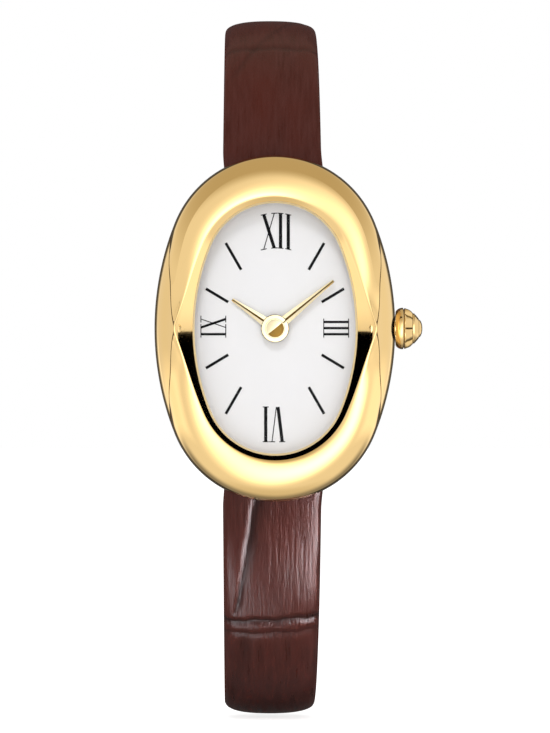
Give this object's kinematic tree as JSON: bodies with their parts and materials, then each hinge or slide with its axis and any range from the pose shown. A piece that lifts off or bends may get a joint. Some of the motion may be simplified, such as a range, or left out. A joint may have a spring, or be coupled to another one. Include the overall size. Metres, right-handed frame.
{
  "type": "oval wristwatch",
  "caption": "Oval ladies' quartz wristwatch: polished gold-tone case with a swelling bezel, white numeral dial, lobed crown and a buckled brown leather strap.",
  "frame": {"origin": "centre of the outer flat face of the case back", "axes": "+Z towards 12 o'clock, +X towards 3 o'clock and the crown, -Y out of the dial towards the viewer, +Y out of the case back towards the wrist"},
  "size_m": [0.0271, 0.0499, 0.0712],
  "materials": {
    "gold_polished": "polished yellow gold plate",
    "gold_hands": "polished yellow gold plate",
    "steel_brushed": "fine brushed",
    "crystal_glass": "clear polished",
    "black_rubber": "matt",
    "dial_white": "silvery white, satin",
    "strap_leather": "semi-gloss, embossed",
    "lining_leather": "smooth matt",
    "holder_plastic": "moulded",
    "plate_plastic": "moulded",
    "movement_steel": "pressed sheet and turned steel",
    "battery_steel": "nickel plated",
    "wheel_brass": "gilt",
    "wheel_plastic": "moulded",
    "stator_iron": "annealed iron sheet",
    "copper_wire": "enamelled copper winding",
    "board_green": "printed board",
    "chip_black": "resin drop",
    "quartz_aluminium": "drawn can"
  },
  "bodies": {
    "case": {"bezel": "gold_polished", "middle_case": "gold_polished", "case_back": "steel_brushed", "crown_tube": "steel_brushed", "upper_lug_bar": "steel_brushed", "lower_lug_bar": "steel_brushed", "buckle_bar": "steel_brushed", "crystal": "crystal_glass", "crystal_gasket": "black_rubber", "case_back_gasket": "black_rubber", "dial": "dial_white", "upper_strap": "strap_leather", "lower_strap": "strap_leather", "fixed_keeper": "strap_leather", "upper_strap_lining": "lining_leather", "lower_strap_lining": "lining_leather", "movement_holder": "holder_plastic", "main_plate": "plate_plastic", "train_bridge": "movement_steel", "movement_screws": "movement_steel", "motion_cover": "movement_steel", "battery_clamp": "movement_steel", "battery": "battery_steel", "stator": "stator_iron", "coil_core": "stator_iron", "coil_winding": "copper_wire", "circuit_board": "board_green", "timing_chip": "chip_black", "quartz_can": "quartz_aluminium"},
    "minute_train": {"centre_wheel": "wheel_brass", "cannon_pinion": "wheel_brass", "minute_hand": "gold_hands"},
    "hour_train": {"hour_wheel": "wheel_brass", "hour_hand": "gold_hands"},
    "minute_wheel": {"minute_wheel": "wheel_brass"},
    "setting_wheel": {"setting_wheel": "wheel_brass"},
    "intermediate_wheel": {"intermediate_wheel": "wheel_plastic"},
    "rotor": {"rotor": "wheel_plastic"},
    "crown_seal": {"crown_gasket": "black_rubber"},
    "crown": {"crown": "gold_polished", "crown_cap": "gold_polished", "stem": "steel_brushed"},
    "clutch": {"sliding_pinion": "movement_steel"},
    "setting_lever": {"setting_lever": "movement_steel"},
    "yoke": {"yoke": "movement_steel"},
    "buckle_frame": {"buckle_frame": "gold_polished"},
    "buckle_tongue": {"buckle_tongue": "gold_polished"},
    "sliding_keeper": {"sliding_keeper": "strap_leather"},
    "upper_lug_bar_right_tip": {"upper_lug_bar_right_tip": "steel_brushed"},
    "upper_lug_bar_left_tip": {"upper_lug_bar_left_tip": "steel_brushed"},
    "lower_lug_bar_right_tip": {"lower_lug_bar_right_tip": "steel_brushed"},
    "lower_lug_bar_left_tip": {"lower_lug_bar_left_tip": "steel_brushed"},
    "buckle_bar_right_tip": {"buckle_bar_right_tip": "steel_brushed"},
    "buckle_bar_left_tip": {"buckle_bar_left_tip": "steel_brushed"}
  },
  "joints": [
    {"name": "minute_turn", "type": "hinge", "parent": "case", "child": "minute_train", "pos_m": [0, 0, 0], "axis": [0, 1, 0], "continuous": true},
    {"name": "hour_turn", "type": "hinge", "parent": "case", "child": "hour_train", "pos_m": [0, 0, 0], "axis": [0, 1, 0], "continuous": true},
    {"name": "minute_wheel_turn", "type": "hinge", "parent": "case", "child": "minute_wheel", "pos_m": [0.0015, 0, -0.0026], "axis": [0, 1, 0], "continuous": true},
    {"name": "setting_wheel_turn", "type": "hinge", "parent": "case", "child": "setting_wheel", "pos_m": [0.0038, 0, -0.0003], "axis": [0, 1, 0], "continuous": true},
    {"name": "intermediate_turn", "type": "hinge", "parent": "case", "child": "intermediate_wheel", "pos_m": [-0.00133, 0, 0.0023], "axis": [0, 1, 0], "continuous": true},
    {"name": "rotor_turn", "type": "hinge", "parent": "case", "child": "rotor", "pos_m": [-0.00375, 0, 0.00282], "axis": [0, 1, 0], "continuous": true},
    {"name": "crown_pull", "type": "slide", "parent": "case", "child": "crown_seal", "axis": [1, 0, 0], "range_m": [0, 0.0006]},
    {"name": "crown_turn", "type": "hinge", "parent": "crown_seal", "child": "crown", "pos_m": [0.012, -0.0026, 0], "axis": [1, 0, 0], "continuous": true},
    {"name": "clutch_slide", "type": "slide", "parent": "crown", "child": "clutch", "axis": [1, 0, 0], "range_m": [-0.00073, 0]},
    {"name": "setting_lever_turn", "type": "hinge", "parent": "case", "child": "setting_lever", "pos_m": [0.0063, 0, 0.0021], "axis": [0, -1, 0], "range_deg": [0, 17.5]},
    {"name": "yoke_turn", "type": "hinge", "parent": "case", "child": "yoke", "pos_m": [0.0042, 0, 0.0027], "axis": [0, -1, 0], "range_deg": [-3.5, 0]},
    {"name": "buckle_frame_turn", "type": "hinge", "parent": "case", "child": "buckle_frame", "pos_m": [0, 0.03711, -0.00215], "axis": [1, 0, 0], "range_deg": [0, 1.5]},
    {"name": "buckle_tongue_turn", "type": "hinge", "parent": "buckle_frame", "child": "buckle_tongue", "pos_m": [0, 0.03711, -0.00215], "axis": [1, 0, 0], "range_deg": [0, 4]},
    {"name": "sliding_keeper_slide", "type": "slide", "parent": "case", "child": "sliding_keeper", "axis": [0, 0, 1], "range_m": [-0.003, 0.0012]},
    {"name": "upper_lug_bar_right_tip_press", "type": "slide", "parent": "case", "child": "upper_lug_bar_right_tip", "axis": [-1, 0, 0], "range_m": [0, 0.0009], "stiffness_N_per_m": 100, "springref_m": -0.001},
    {"name": "upper_lug_bar_left_tip_press", "type": "slide", "parent": "case", "child": "upper_lug_bar_left_tip", "axis": [1, 0, 0], "range_m": [0, 0.0009], "stiffness_N_per_m": 100, "springref_m": -0.001},
    {"name": "lower_lug_bar_right_tip_press", "type": "slide", "parent": "case", "child": "lower_lug_bar_right_tip", "axis": [-1, 0, 0], "range_m": [0, 0.0009], "stiffness_N_per_m": 100, "springref_m": -0.001},
    {"name": "lower_lug_bar_left_tip_press", "type": "slide", "parent": "case", "child": "lower_lug_bar_left_tip", "axis": [1, 0, 0], "range_m": [0, 0.0009], "stiffness_N_per_m": 100, "springref_m": -0.001},
    {"name": "buckle_bar_right_tip_press", "type": "slide", "parent": "case", "child": "buckle_bar_right_tip", "axis": [-1, 0, 0], "range_m": [0, 0.0008], "stiffness_N_per_m": 100, "springref_m": -0.001},
    {"name": "buckle_bar_left_tip_press", "type": "slide", "parent": "case", "child": "buckle_bar_left_tip", "axis": [1, 0, 0], "range_m": [0, 0.0008], "stiffness_N_per_m": 100, "springref_m": -0.001}
  ],
  "couplings": [
    {"joint": "hour_turn", "follows": "minute_turn", "ratio": 0.083333},
    {"joint": "minute_wheel_turn", "follows": "minute_turn", "ratio": -0.33333},
    {"joint": "setting_wheel_turn", "follows": "minute_turn", "ratio": 0.75},
    {"joint": "intermediate_turn", "follows": "minute_turn", "ratio": -6},
    {"joint": "rotor_turn", "follows": "minute_turn", "ratio": 60},
    {"joint": "clutch_slide", "follows": "crown_pull", "ratio": -1.2},
    {"joint": "setting_lever_turn", "follows": "crown_pull", "rad_per_m": 495.1},
    {"joint": "yoke_turn", "follows": "crown_pull", "rad_per_m": -96.2}
  ]
}
